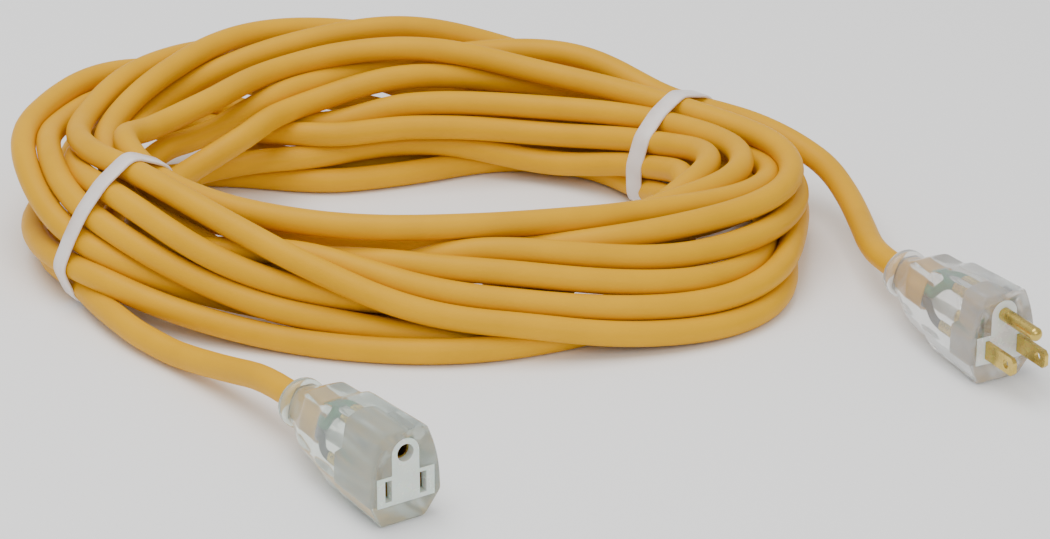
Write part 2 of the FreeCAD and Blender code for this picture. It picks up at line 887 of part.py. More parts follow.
for thing in doc.Objects:
    if "Invalid" in thing.State or "Error" in thing.State:
        raise RuntimeError(f"{thing.Label} did not build: {thing.State}")
for thing in nodes:
    if thing.Shape.isNull() or not thing.Shape.isValid():
        raise RuntimeError(f"{thing.Label} has no valid shape")

os.makedirs("parts", exist_ok=True)
for thing in nodes:
    thing.Shape.exportStep(f"parts/{thing.Label}.step")
print(len(nodes), "nodes written")
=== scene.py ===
import math

import bmesh
import bpy
import numpy as np
from mathutils import Matrix, Vector


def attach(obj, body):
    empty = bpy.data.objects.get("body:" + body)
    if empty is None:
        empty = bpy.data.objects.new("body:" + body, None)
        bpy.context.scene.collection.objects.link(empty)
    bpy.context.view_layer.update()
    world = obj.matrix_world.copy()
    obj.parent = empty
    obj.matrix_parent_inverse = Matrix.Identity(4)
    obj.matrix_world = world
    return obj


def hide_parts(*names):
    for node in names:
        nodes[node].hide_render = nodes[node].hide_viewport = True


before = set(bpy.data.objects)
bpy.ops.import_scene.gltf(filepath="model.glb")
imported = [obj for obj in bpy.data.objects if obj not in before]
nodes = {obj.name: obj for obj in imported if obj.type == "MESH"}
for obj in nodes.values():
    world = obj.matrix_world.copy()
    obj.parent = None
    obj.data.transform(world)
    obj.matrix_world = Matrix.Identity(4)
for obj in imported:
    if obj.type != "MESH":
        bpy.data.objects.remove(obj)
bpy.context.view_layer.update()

# Everything is in metres. The cord is one spline: out of the connector, round the coil, into the plug.
# CORD is its diameter. AXIS_HEIGHT is half the height of the plug and of the connector.
CORD = 0.009
AXIS_HEIGHT = 0.0165

# The two leads, as in part.py, from inside the coil to the back of each collar. So many of the first
# points of each lie inside the coil.
CONNECTOR_INSIDE = 2
PLUG_INSIDE = 3
CONNECTOR_LEAD = [
    (-0.1486, 0.0040, 0.0090),
    (-0.1344, -0.0226, 0.0060),
    (-0.1130, -0.0440, 0.0054),
    (-0.0948, -0.0644, 0.0100),
    (-0.0802, -0.0842, 0.0165),
    (-0.0691, -0.1010, 0.0165),
]
PLUG_LEAD = [
    (0.0655, 0.1155, 0.0310),
    (0.0845, 0.1105, 0.0285),
    (0.1025, 0.1005, 0.0240),
    (0.1150, 0.0840, 0.0200),
    (0.1210, 0.0640, 0.0170),
    (0.1241, 0.0420, 0.0156),
    (0.1257, 0.0230, 0.0160),
    (0.1293, 0.0105, 0.0165),
    (0.1350, 0.0, 0.0165),
]


# ---------------------------------------------------------------- camera and light

LENS_MM = 139.2
SENSOR_MM = 36.0
LOOK_AT = Vector((0.0039, 0.038, 0.0))
CAMERA_PLACE = (0.0039, -1.2814, 0.6013)

camera_data = bpy.data.cameras.new("camera")
camera_data.lens = LENS_MM
camera_data.sensor_width = SENSOR_MM
camera = bpy.data.objects.new("camera", camera_data)
bpy.context.scene.collection.objects.link(camera)
camera.location = CAMERA_PLACE
camera.rotation_euler = (LOOK_AT - camera.location).to_track_quat("-Z", "Y").to_euler()
bpy.context.scene.camera = camera


def area_light(name, place, aim, size, power):
    """A white softbox at a place, turned to its aim. Its size is its two sides."""
    data = bpy.data.lights.new(name, "AREA")
    data.shape = "RECTANGLE"
    data.size, data.size_y = size
    data.energy = power
    lamp = bpy.data.objects.new(name, data)
    lamp.location = place
    lamp.rotation_euler = (Vector(aim) - Vector(place)).to_track_quat("-Z", "Y").to_euler()
    bpy.context.scene.collection.objects.link(lamp)


area_light("softbox_top", (-0.3, 0.0, 1.3), (0.0, 0.03, 0.0), (1.3, 1.0), 15.5)
area_light("softbox_front", (0.35, -1.3, 1.0), (0.0, 0.0, 0.02), (1.0, 0.7), 6.5)

world = bpy.data.worlds.new("studio")
world.use_nodes = True
background = world.node_tree.nodes["Background"]
background.inputs["Color"].default_value = (1.0, 1.0, 1.0, 1.0)
background.inputs["Strength"].default_value = 0.74
bpy.context.scene.world = world


# ---------------------------------------------------------------- coil

# Sections across the coil, clockwise from the left tie as seen from above. Each has a foot on the ground,
# the way it faces out of the coil in degrees, and where the cord's turns cross it: for each lane, how many
# cord diameters outward and upward from the foot. A lane is one of the eleven loops round the right end.
# Lane 0 is the connector's lead and lane 12 is the plug's.
LEFT_SECTIONS = [
    ((-0.1363, 0.0198), 214.6, {
        0: (1.7, 0.05), 1: (2.3, 0.95), 2: (1.3, 3.0), 3: (-0.2, 3.2), 4: (2.0, 2.0), 5: (0.5, 3.8),
        6: (-1.4, 4.0), 7: (-1.2, 2.9), 8: (0.9, 1.6), 9: (-1.2, 1.0), 10: (-0.4, 2.1), 11: (-0.45, 4.5),
    }),
    ((-0.1361, 0.0480), 180.0, {
        0: (3.4, 0.0), 1: (4.0, 0.8), 2: (3.05, 3.8), 3: (0.8, 3.55), 4: (4.1, 3.5), 5: (2.2, 3.35),
        6: (0.25, 4.55), 7: (0.1, 2.6), 8: (0.8, 1.6), 9: (-0.3, 0.4), 10: (-0.9, 2.4), 11: (1.8, 4.3),
    }),
]
OTHER_SECTIONS = [
    ((-0.1301, 0.0760), 158.0, {
        1: (2.6, 0.0), 2: (0.2, 0.4), 3: (3.1, 2.6), 4: (4.2, 3.5), 5: (3.05, 3.9), 6: (-1.3, 2.1),
        7: (0.15, 3.75), 8: (1.15, 2.8), 9: (4.4, 0.7), 10: (1.9, 3.6), 11: (4.9, 3.8), 12: (0.2, 2.75),
    }),
    ((-0.1141, 0.1000), 135.0, {
        1: (2.0, 0.0), 2: (0.6, 0.5), 3: (4.2, 2.0), 4: (3.9, 3.1), 5: (3.6, 4.4), 6: (-2.3, 2.9),
        7: (-0.5, 4.05), 8: (2.5, 3.1), 9: (5.2, 1.3), 10: (2.4, 4.4), 11: (5.0, 3.8), 12: (0.0, 2.5),
    }),
    ((-0.0811, 0.1080), 90.0, {
        1: (0.0, 0.0), 2: (0.1, 0.95), 3: (0.6, 1.75), 4: (1.4, 1.9), 5: (5.9, 3.3), 6: (1.1, 2.7),
        7: (3.0, 3.8), 8: (4.6, 4.3), 9: (1.6, 0.2), 10: (6.2, 4.3), 11: (5.0, 1.9), 12: (2.3, 3.4),
    }),
    ((-0.0411, 0.1136), 90.0, {
        1: (0.0, 0.0), 2: (1.0, 0.9), 3: (0.5, 1.8), 4: (1.1, 2.65), 5: (3.9, 2.3), 6: (2.2, 3.5),
        7: (3.1, 4.3), 8: (5.3, 4.5), 9: (2.0, 0.2), 10: (6.3, 3.6), 11: (3.6, 1.2), 12: (4.1, 3.5),
    }),
    ((0.0139, 0.1160), 90.0, {
        1: (1.1, 0.0), 2: (0.0, 0.3), 3: (0.3, 1.5), 4: (0.8, 2.55), 5: (1.9, 2.0), 6: (3.0, 2.6),
        7: (2.1, 3.5), 8: (5.0, 3.0), 9: (2.6, 0.3), 10: (5.2, 1.9), 11: (3.9, 0.8), 12: (3.8, 3.9),
    }),
    ((0.0602, 0.1075), 46.7, {
        1: (-2.1, 0.4), 2: (-2.05, 1.3), 3: (-1.7, 2.2), 4: (-0.9, 2.9), 5: (-0.6, 1.8), 6: (0.6, 2.1),
        7: (0.15, 3.2), 8: (2.2, 2.1), 9: (1.2, 0.1), 10: (2.9, 1.2), 11: (2.4, 0.2), 12: (1.35, 2.95),
    }),
    ((0.0539, 0.0460), 0.0, {
        1: (0.5, 1.5), 2: (0.8, 2.5), 3: (1.55, 3.0), 4: (2.75, 3.2), 5: (3.3, 2.0), 6: (3.85, 2.8),
        7: (4.85, 2.9), 8: (5.15, 1.75), 9: (4.1, 0.7), 10: (5.1, 0.85), 11: (4.8, 0.0),
    }),
    ((0.0289, 0.0330), -50.0, {
        1: (4.2, 0.0), 2: (3.4, 0.7), 3: (1.6, 1.6), 4: (1.9, 2.6), 5: (3.1, 2.2), 6: (3.0, 3.2),
        7: (4.4, 3.0), 8: (5.4, 2.2), 9: (6.3, 1.5), 10: (6.9, 0.9), 11: (7.5, 0.0),
    }),
    ((-0.0111, -0.0060), -90.0, {
        1: (3.55, 0.0), 2: (2.45, 0.0), 3: (0.5, 0.0), 4: (1.45, 0.0), 5: (1.1, 0.95), 6: (0.0, 3.5),
        7: (0.0, 2.4), 8: (0.8, 2.95), 9: (1.6, 2.4), 10: (2.45, 1.65), 11: (3.0, 0.87),
    }),
    ((-0.0671, 0.0), -100.0, {
        1: (3.5, 0.0), 2: (3.0, 0.9), 3: (1.3, 1.2), 4: (1.5, 0.2), 5: (2.4, 1.6), 6: (0.6, 3.6),
        7: (-0.2, 2.5), 8: (0.3, 1.2), 9: (0.9, 2.2), 10: (1.5, 2.7), 11: (2.1, 2.6),
    }),
]
# The sections that the last turn crosses before it leaves for the plug. The right tie is at the last.
BEFORE_PLUG = OTHER_SECTIONS[:6]
# The lane that each turn takes after it has gone round the left end.
LANES = (1, 9, 2, 4, 11, 5, 3, 10, 6, 7, 8, 12)
COIL_CENTRE = (-0.0301, 0.0580)
COIL_HALF = (0.118, 0.084)
# The turns are laid as points a STEP apart, and every second point is one of the spline's.
STEP = 0.006
POINTS_APART = 2
ANGLE_STEP = 0.03
# How finely the leads' own splines are read, in points from one control point to the next.
POINTS_A_STRETCH = 7
# How much of each lead, from the coil on, still gives way to it.
EASE = 0.05
# The turns press on each other in rounds, but not points that are NEXT_ALONG or fewer apart on the cord.
# Each round smooths the cord's shift a little and keeps SPRING_BACK of it.
ROUNDS = 260
ROUNDS_BEFORE_LOOKING_AGAIN = 10
NEXT_ALONG = 5
SMOOTHING = 0.35
SPRING_BACK = 0.985


def on_section(section, lane):
    """Where a lane crosses a section."""
    (x, y), degrees, lanes = section
    outward, upward = lanes[lane]
    turn = math.radians(degrees)
    reach = outward * CORD
    return (x + reach * math.cos(turn), y + reach * math.sin(turn), CORD / 2 + upward * CORD)


def section_points():
    """Where the cord crosses each section, from the connector's lead to the plug's."""
    points = []
    came_in = 0
    for lane in LANES:
        points += [on_section(section, came_in) for section in LEFT_SECTIONS]
        ahead = BEFORE_PLUG if lane == LANES[-1] else OTHER_SECTIONS
        points += [on_section(section, lane) for section in ahead]
        came_in = lane
    # At the two ends the leads' own points stand in for the crossings.
    return np.array(CONNECTOR_LEAD[1::-1] + points[1:-1] + PLUG_LEAD[:2])


def smooth_between(values, at, wanted):
    """A smooth curve through values known at some angles, read at the wanted angles."""
    slope = np.gradient(values, at)
    index = np.clip(np.searchsorted(at, wanted, side="right") - 1, 0, len(at) - 2)
    gap = at[index + 1] - at[index]
    t = (wanted - at[index]) / gap
    return (
        (2 * t**3 - 3 * t**2 + 1) * values[index]
        + (t**3 - 2 * t**2 + t) * gap * slope[index]
        + (3 * t**2 - 2 * t**3) * values[index + 1]
        + (t**3 - t**2) * gap * slope[index + 1]
    )


def distances(points):
    """How far along a line each of its points is."""
    return np.concatenate([[0.0], np.cumsum(np.linalg.norm(np.diff(points, axis=0), axis=1))])


def places_at(points, at):
    """The places that are some distances along a line."""
    gone = distances(points)
    return np.stack([np.interp(at, gone, column) for column in points.T], axis=1)


def even(points, step):
    """The same line with its points a step apart."""
    length = distances(points)[-1]
    return places_at(points, np.linspace(0.0, length, int(round(length / step)) + 1))


def even_loop(outline, count):
    """A closed line as a count of even points, and how far apart they are."""
    closed = np.concatenate([outline, outline[:1]])
    length = distances(closed)[-1]
    return places_at(closed, np.linspace(0.0, length, count, endpoint=False)), length / count


def soften(loop, rounds):
    """Take a closed line's corners off, a little more with each round."""
    for _ in range(rounds):
        loop = (np.roll(loop, 1, axis=0) + 2 * loop + np.roll(loop, -1, axis=0)) / 4
    return loop


def laid_turns():
    """The coil's turns as they are laid, before they press on each other."""
    known = section_points()
    across = (known[:, :2] - COIL_CENTRE) / COIL_HALF
    angle = np.unwrap(-np.arctan2(across[:, 1], across[:, 0]))
    fine = np.arange(angle[1], angle[-2], ANGLE_STEP)
    radius = smooth_between(np.hypot(across[:, 0], across[:, 1]), angle, fine)
    x = COIL_CENTRE[0] + COIL_HALF[0] * radius * np.cos(fine)
    y = COIL_CENTRE[1] - COIL_HALF[1] * radius * np.sin(fine)
    z = smooth_between(known[:, 2], angle, fine)
    return np.stack([x, y, z], axis=1)


def open_spline(name, places):
    """A curve of one open NURBS spline with these control points."""
    data = bpy.data.curves.new(name, "CURVE")
    data.dimensions = "3D"
    spline = data.splines.new("NURBS")
    spline.points.add(len(places) - 1)
    for point, place in zip(spline.points, places):
        point.co = (*place, 1.0)
        # A curve's bound box grows by its points' radius, so the cord's own radius is set here
        # and the bevel is 1.
        point.radius = CORD / 2
    spline.order_u = 3
    spline.use_endpoint_u = True
    return data


def along_spline(places):
    """Points along the open spline of some control points."""
    data = open_spline("lead", places)
    data.resolution_u = POINTS_A_STRETCH
    lead = bpy.data.objects.new("lead", data)
    mesh = bpy.data.meshes.new_from_object(lead)
    points = np.array([tuple(vertex.co) for vertex in mesh.vertices])
    bpy.data.objects.remove(lead)
    bpy.data.curves.remove(data)
    bpy.data.meshes.remove(mesh)
    return points


def press_apart(points, free):
    """Let the turns push each other a cord's diameter apart. free, from 0 to 1, lets a point give way."""
    laid = points.copy()
    count = np.arange(len(points))
    for done in range(ROUNDS):
        heading = np.gradient(points, axis=0)
        heading /= np.linalg.norm(heading, axis=1)[:, None]
        if done % ROUNDS_BEFORE_LOOKING_AGAIN == 0:
            gap = np.linalg.norm(points[:, None] - points[None], axis=2)
            apart = np.abs(count[:, None] - count[None]) > NEXT_ALONG
            first, second = np.nonzero((gap < 2 * CORD) & apart)
        between = points[first] - points[second]
        along = (between * heading[second]).sum(axis=1)
        across = between - along[:, None] * heading[second]
        distance = np.linalg.norm(across, axis=1) + 1e-9
        meets = (np.abs(along) < STEP * 0.75) & (distance < CORD)
        push = across / distance[:, None] * ((CORD - distance) * 0.5)[:, None] * meets[:, None]
        total = np.zeros_like(points)
        np.add.at(total, first, push)
        touching = np.zeros(len(points))
        np.add.at(touching, first, meets)
        shift = points + total / np.maximum(touching, 1)[:, None] - laid
        for _ in range(2):
            shift[1:-1] += SMOOTHING * ((shift[2:] + shift[:-2]) / 2 - shift[1:-1])
        points = laid + shift * SPRING_BACK * free[:, None]
        points[:, 2] = np.maximum(points[:, 2], CORD / 2)
    return points


connector_end = along_spline(CONNECTOR_LEAD[::-1])
plug_end = along_spline(PLUG_LEAD)
line = even(np.concatenate([connector_end, laid_turns(), plug_end]), STEP)
gone = distances(line)
coil_start = distances(connector_end)[-1] - EASE
coil_end = gone[-1] - distances(plug_end)[-1] + EASE
free = np.clip((gone - coil_start) / EASE, 0, 1) * np.clip((coil_end - gone) / EASE, 0, 1)
line = press_apart(line, free)
in_coil = line[(gone > coil_start) & (gone < coil_end)]
cord_points = CONNECTOR_LEAD[CONNECTOR_INSIDE:][::-1]
cord_points += [tuple(point) for point in in_coil[::POINTS_APART]]
cord_points += PLUG_LEAD[PLUG_INSIDE:]

curve = open_spline("cord", cord_points)
curve.bevel_depth = 1.0
curve.bevel_resolution = 8
curve.resolution_u = 5
curve.use_fill_caps = True
cord = bpy.data.objects.new("cord", curve)
bpy.context.scene.collection.objects.link(cord)
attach(cord, "root")
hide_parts("cord_coil", "connector_lead", "plug_lead")


# ---------------------------------------------------------------- materials


class Shading:
    """A material's node tree, built a node at a time."""

    def __init__(self, name):
        self.material = bpy.data.materials.new(name)
        self.material.use_nodes = True
        self.tree = self.material.node_tree
        self.shader = self.tree.nodes["Principled BSDF"]
        self.place = self.add("ShaderNodeTexCoord").outputs["Object"]

    def add(self, kind, **settings):
        """A new node with these settings."""
        node = self.tree.nodes.new(kind)
        for key, value in settings.items():
            setattr(node, key, value)
        return node

    def link(self, source, target):
        self.tree.links.new(source, target)

    def set(self, **values):
        """Set sockets of the shader, named as specular_ior_level names Specular IOR Level."""
        for key, value in values.items():
            name = key.replace("_", " ").title().replace("Ior", "IOR")
            self.shader.inputs[name].default_value = value

    def noise(self, scale, detail=3.0, roughness=0.5, stretch=(1, 1, 1)):
        """Noise in the piece's own space."""
        mapping = self.add("ShaderNodeMapping")
        mapping.inputs["Scale"].default_value = stretch
        self.link(self.place, mapping.inputs["Vector"])
        noise = self.add("ShaderNodeTexNoise")
        noise.inputs["Scale"].default_value = scale
        noise.inputs["Detail"].default_value = detail
        noise.inputs["Roughness"].default_value = roughness
        self.link(mapping.outputs["Vector"], noise.inputs["Vector"])
        return noise.outputs["Fac"]

    def ramp(self, factor, stops):
        """Colours at places along 0 to 1."""
        ramp = self.add("ShaderNodeValToRGB")
        elements = ramp.color_ramp.elements
        while len(elements) < len(stops):
            elements.new(0.5)
        for element, (at, colour) in zip(elements, stops):
            element.position = at
            element.color = (*colour, 1.0)
        self.link(factor, ramp.inputs["Fac"])
        return ramp.outputs["Color"]

    def spread(self, factor, low, high):
        """The factor, spread from low to high."""
        spread = self.add("ShaderNodeMapRange")
        spread.inputs["To Min"].default_value = low
        spread.inputs["To Max"].default_value = high
        self.link(factor, spread.inputs["Value"])
        return spread.outputs["Result"]

    def bump(self, height, distance, strength=1.0, under=None):
        """A bumpy normal, laid over another one where there is one under it."""
        bump = self.add("ShaderNodeBump")
        bump.inputs["Distance"].default_value = distance
        bump.inputs["Strength"].default_value = strength
        self.link(height, bump.inputs["Height"])
        if under is not None:
            self.link(under, bump.inputs["Normal"])
        return bump.outputs["Normal"]

    def into(self, socket, source):
        """Link something into a socket of the shader."""
        self.link(source, self.shader.inputs[socket])


def jacket_material():
    """Soft yellow vinyl: a fine matt skin, faint blotches and slow waves from the extruder."""
    look = Shading("yellow_vinyl_jacket")
    blotch = look.noise(38.0, 4.0)
    look.into("Base Color", look.ramp(blotch, [
        (0.3, (0.64, 0.325, 0.0)),
        (0.7, (0.72, 0.370, 0.0)),
    ]))
    grain = look.noise(1900.0, 2.0)
    look.into("Roughness", look.spread(look.noise(240.0), 0.40, 0.52))
    waves = look.bump(look.noise(160.0, 1.0), 0.00012, 0.5)
    look.into("Normal", look.bump(grain, 0.00003, 0.6, waves))
    look.set(specular_ior_level=0.16)
    return look.material


def nylon_material():
    """Milky nylon strap."""
    look = Shading("milky_nylon")
    cloud = look.noise(120.0, 3.0)
    look.into("Base Color", look.ramp(cloud, [
        (0.3, (0.84, 0.74, 0.70)),
        (0.7, (0.93, 0.85, 0.81)),
    ]))
    look.into("Roughness", look.spread(look.noise(500.0), 0.28, 0.42))
    look.into("Normal", look.bump(look.noise(900.0, 2.0), 0.00004, 0.5))
    look.set(subsurface_weight=0.5, transmission_weight=0.12, ior=1.53)
    look.shader.inputs["Subsurface Radius"].default_value = (0.002, 0.0016, 0.0014)
    look.shader.inputs["Subsurface Scale"].default_value = 1.0
    return look.material


def clear_material(name, tint, low, high, pebble, clear):
    """Clear vinyl moulding. Its side panels carry a pebbled skin."""
    look = Shading(name)
    look.into("Base Color", look.ramp(look.noise(60.0, 2.0), [
        (0.3, tuple(c * 0.96 for c in tint)),
        (0.7, tint),
    ]))
    look.into("Roughness", look.spread(look.noise(350.0), low, high))
    cells = look.add("ShaderNodeTexVoronoi", feature="SMOOTH_F1")
    cells.inputs["Scale"].default_value = 1050.0
    look.link(look.place, cells.inputs["Vector"])
    slow = look.bump(look.noise(90.0, 2.0), 0.0004, 0.35)
    look.into("Normal", look.bump(cells.outputs["Distance"], 0.00035, pebble, slow))
    look.set(transmission_weight=clear, ior=1.42, specular_ior_level=0.6)
    return look.material


def inner_material(name, colour):
    """Stiffer milky plastic that holds the pins and the contacts."""
    look = Shading(name)
    look.into("Base Color", look.ramp(look.noise(150.0, 3.0), [
        (0.3, tuple(c * 0.92 for c in colour)),
        (0.7, colour),
    ]))
    look.into("Roughness", look.spread(look.noise(400.0), 0.18, 0.34))
    look.into("Normal", look.bump(look.noise(700.0, 2.0), 0.00005, 0.5))
    look.set(transmission_weight=0.15, ior=1.45, subsurface_weight=0.3)
    look.shader.inputs["Subsurface Scale"].default_value = 0.003
    return look.material


def metal_material(name, dark, bright, low, high, stretch, scale):
    """Drawn or stamped metal with fine lines from its tool and duller patches."""
    look = Shading(name)
    look.into("Base Color", look.ramp(look.noise(260.0, 4.0), [(0.3, dark), (0.7, bright)]))
    look.into("Roughness", look.spread(look.noise(500.0, 4.0), low, high))
    look.into("Normal", look.bump(look.noise(scale, 3.0, 0.6, stretch), 0.00003, 0.5))
    look.set(metallic=1.0)
    return look.material


def wire_material(name, dark, bright):
    """Thin satin insulation."""
    look = Shading(name)
    look.into("Base Color", look.ramp(look.noise(200.0, 3.0), [(0.3, dark), (0.7, bright)]))
    look.into("Roughness", look.spread(look.noise(600.0), 0.30, 0.45))
    look.into("Normal", look.bump(look.noise(1500.0, 2.0), 0.00002, 0.5))
    return look.material


def floor_material():
    """Even, dull and nearly white."""
    look = Shading("pale_floor")
    look.into("Base Color", look.ramp(look.noise(2.0, 2.0), [
        (0.3, (0.93, 0.93, 0.93)),
        (0.7, (0.95, 0.95, 0.95)),
    ]))
    look.into("Roughness", look.spread(look.noise(8.0), 0.75, 0.85))
    return look.material


jacket = jacket_material()
nylon = nylon_material()
brass = metal_material("bright_brass", (0.56, 0.40, 0.09), (0.70, 0.52, 0.14), 0.2, 0.34, (1, 1, 6), 900.0)
copper = metal_material(
    "stranded_copper", (0.60, 0.26, 0.14), (0.78, 0.40, 0.24), 0.25, 0.4, (1, 1, 3), 1800.0
)
insert = inner_material("milky_insert", (0.93, 0.94, 0.91))
carrier = inner_material("milky_carrier", (0.86, 0.94, 0.86))
WIRES = {
    "green": wire_material("green_insulation", (0.01, 0.16, 0.05), (0.02, 0.24, 0.09)),
    "black": wire_material("black_insulation", (0.008, 0.008, 0.009), (0.02, 0.02, 0.022)),
    "white": wire_material("white_insulation", (0.66, 0.66, 0.62), (0.8, 0.8, 0.77)),
}
LOOKS = {
    "plug": (
        clear_material("clear_vinyl_plug", (0.97, 0.99, 0.98), 0.08, 0.14, 0.0, 0.8),
        clear_material("clear_vinyl_plug_panel", (0.97, 1.0, 0.98), 0.3, 0.42, 0.35, 0.6),
    ),
    "connector": (
        clear_material("clear_vinyl_connector", (0.89, 0.98, 0.92), 0.08, 0.14, 0.0, 0.8),
        clear_material("clear_vinyl_connector_panel", (0.88, 0.99, 0.91), 0.3, 0.42, 0.35, 0.6),
    ),
}


def paint(thing, *materials):
    """Give a new piece its materials."""
    thing.data.materials.clear()
    for material in materials:
        thing.data.materials.append(material)


def paint_node(name, material):
    """Give a CAD node a better material."""
    for slot in nodes[name].material_slots:
        slot.material = material


paint(cord, jacket)
for prefix in ("plug", "connector"):
    paint_node(prefix + "_jacket_end", jacket)
    for colour, material in WIRES.items():
        paint_node(f"{prefix}_{colour}_insulation", material)
        paint_node(f"{prefix}_{colour}_copper", copper)
for name in ("plug_line_blade", "plug_neutral_blade", "plug_ground_pin"):
    paint_node(name, brass)
for name in ("line", "neutral", "ground"):
    paint_node(f"connector_{name}_contact", brass)
paint_node("plug_insert", insert)
paint_node("connector_carrier", carrier)


# ---------------------------------------------------------------- meshes


def object_from(name, mesh_tool, slot, *materials):
    """A finished piece from a bmesh, shaded smooth all over, riding on the one body."""
    bmesh.ops.recalc_face_normals(mesh_tool, faces=mesh_tool.faces)
    mesh = bpy.data.meshes.new(name)
    mesh_tool.to_mesh(mesh)
    mesh_tool.free()
    thing = bpy.data.objects.new(name, mesh)
    bpy.context.scene.collection.objects.link(thing)
    paint(thing, *materials)
    smooth(mesh)
    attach(thing, "root")
    return thing


def smooth(mesh):
    """Shade every face smooth."""
    for face in mesh.polygons:
        face.use_smooth = True


def settle(thing):
    """Apply the piece's modifiers to its mesh."""
    graph = bpy.context.evaluated_depsgraph_get()
    mesh = bpy.data.meshes.new_from_object(thing.evaluated_get(graph))
    old = thing.data
    thing.modifiers.clear()
    thing.data = mesh
    bpy.data.meshes.remove(old)
    smooth(mesh)


def join_rings(tool, rings):
    """Faces between each ring of vertices and the next."""
    faces = []
    for ring, following in zip(rings, rings[1:]):
        for index, corner in enumerate(ring):
            beside = (index + 1) % len(ring)
            faces.append(tool.faces.new((corner, ring[beside], following[beside], following[index])))
    return faces


# ---------------------------------------------------------------- cable ties

STRAP_WIDTH = 0.0072
STRAP_THICKNESS = 0.0012
STRAP_CLEARANCE = 0.0001
STRAP_EDGE = 0.0003
# Length along the strap, width across it and height of the head and of the tail stub behind it, how far
# the middle of each is off the strap, and how far the stub is behind the head.
HEAD_SIZE = (0.0070, 0.0090, 0.0042)
HEAD_LIFT = 0.0019
TAIL_SIZE = (0.0040, STRAP_WIDTH, 0.0011)
TAIL_LIFT = 0.0024
TAIL_BEHIND = 0.0052
# A tie holds the strands that cross its section less than this far from the section's foot.
REACH = 0.045
# Each tie's section, and where on the strap its head is, in degrees up from the coil's outer side.
TIES = {
    "left_cable_tie": (LEFT_SECTIONS[0], 165.0),
    "right_cable_tie": (BEFORE_PLUG[-1], 10.0),
}


def crossings(foot, outward, forward):
    """Where the finished cord crosses a section: outward and up, in metres."""
    fine = even(line, 0.001)
    offset = fine[:, :2] - foot
    side = offset @ forward
    out = offset @ outward
    found = np.nonzero((side[:-1] * side[1:] <= 0) & (np.abs(out[:-1]) < REACH))[0]
    return np.array([(out[index], fine[index, 2]) for index in found])


def hull(points):
    """The convex hull of flat points, anticlockwise."""
    points = sorted(map(tuple, points))

    def half(ordered):
        chain = []
        for point in ordered:
            while len(chain) > 1:
                (ax, ay), (bx, by) = chain[-2], chain[-1]
                if (bx - ax) * (point[1] - ay) - (by - ay) * (point[0] - ax) > 0:
                    break
                chain.pop()
            chain.append(point)
        return chain[:-1]

    return np.array(half(points) + half(reversed(points)))


def strap_path(centres, gap):
    """An even closed line round the strands, a little way off their skin and above the floor."""
    ring = np.linspace(0, 2 * math.pi, 40, endpoint=False)
    circle = np.stack([np.cos(ring), np.sin(ring)], axis=1) * gap
    path, _ = even_loop(hull(np.concatenate([centre + circle for centre in centres])), 180)
    path = soften(path, 6)
    path[:, 1] = np.maximum(path[:, 1], STRAP_THICKNESS / 2)
    return path


def strap_profile():
    """The strap's section with its long edges taken off, as (across, up) points."""
    half = STRAP_WIDTH / 2
    thick = STRAP_THICKNESS / 2
    edge = thick / 2
    corner = [(half - edge, thick), (half, thick - edge)]
    right = corner + [(across, -up) for across, up in corner[::-1]]
    return right + [(-across, -up) for across, up in right]


def make_tie(name, section, head):
    """A nylon strap drawn round the strands, with its head and the stub of its tail."""
    (x, y), degrees, _ = section
    turn = math.radians(degrees)
    outward = np.array([math.cos(turn), math.sin(turn)])
    forward = np.array([-outward[1], outward[0]])
    path = strap_path(
        crossings((x, y), outward, forward),
        CORD / 2 + STRAP_THICKNESS / 2 + STRAP_CLEARANCE,
    )
    tangent = np.roll(path, -1, axis=0) - np.roll(path, 1, axis=0)
    tangent /= np.linalg.norm(tangent, axis=1)[:, None]
    normal = np.stack([tangent[:, 1], -tangent[:, 0]], axis=1)
    foot = Vector((x, y, 0.0))
    out = Vector((*outward, 0.0))
    along = Vector((*forward, 0.0))
    up = Vector((0.0, 0.0, 1.0))

    def in_space(flat):
        """A direction in the section's own plane, out and up, as one in the frame."""
        return out * flat[0] + up * flat[1]

    tool = bmesh.new()
    profile = strap_profile()
    rings = [
        [tool.verts.new(foot + in_space(at + away * lift) + along * across) for across, lift in profile]
        for at, away in zip(path, normal)
    ]
    join_rings(tool, rings + rings[:1])

    middle = path.mean(axis=0)
    bearing = np.degrees(np.arctan2(path[:, 1] - middle[1], path[:, 0] - middle[0]))
    at = int(np.argmin(np.abs((bearing - head + 180) % 360 - 180)))
    away = in_space(normal[at])
    way = in_space(tangent[at])
    spot = foot + in_space(path[at])

    def block(centre, size):
        """A box along the strap, across it and away from it."""
        made = bmesh.ops.create_cube(tool, size=1.0)["verts"]
        turned = Matrix((way, along, away)).transposed().to_4x4()
        bmesh.ops.scale(tool, vec=size, verts=made)
        bmesh.ops.transform(tool, matrix=Matrix.Translation(centre) @ turned, verts=made)

    block(spot + away * HEAD_LIFT, HEAD_SIZE)
    block(spot + away * TAIL_LIFT - way * TAIL_BEHIND, TAIL_SIZE)
    tie = object_from(name, tool, "tie_nylon", nylon)
    edges = tie.modifiers.new("edges", "BEVEL")
    edges.width = STRAP_EDGE
    edges.segments = 2
    edges.limit_method = "ANGLE"
    edges.angle_limit = math.radians(50.0)
    settle(tie)
    return tie


for name, (section, head) in TIES.items():
    tie = make_tie(name + "_look", section, head)
    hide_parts(name)


# ---------------------------------------------------------------- clear mouldings

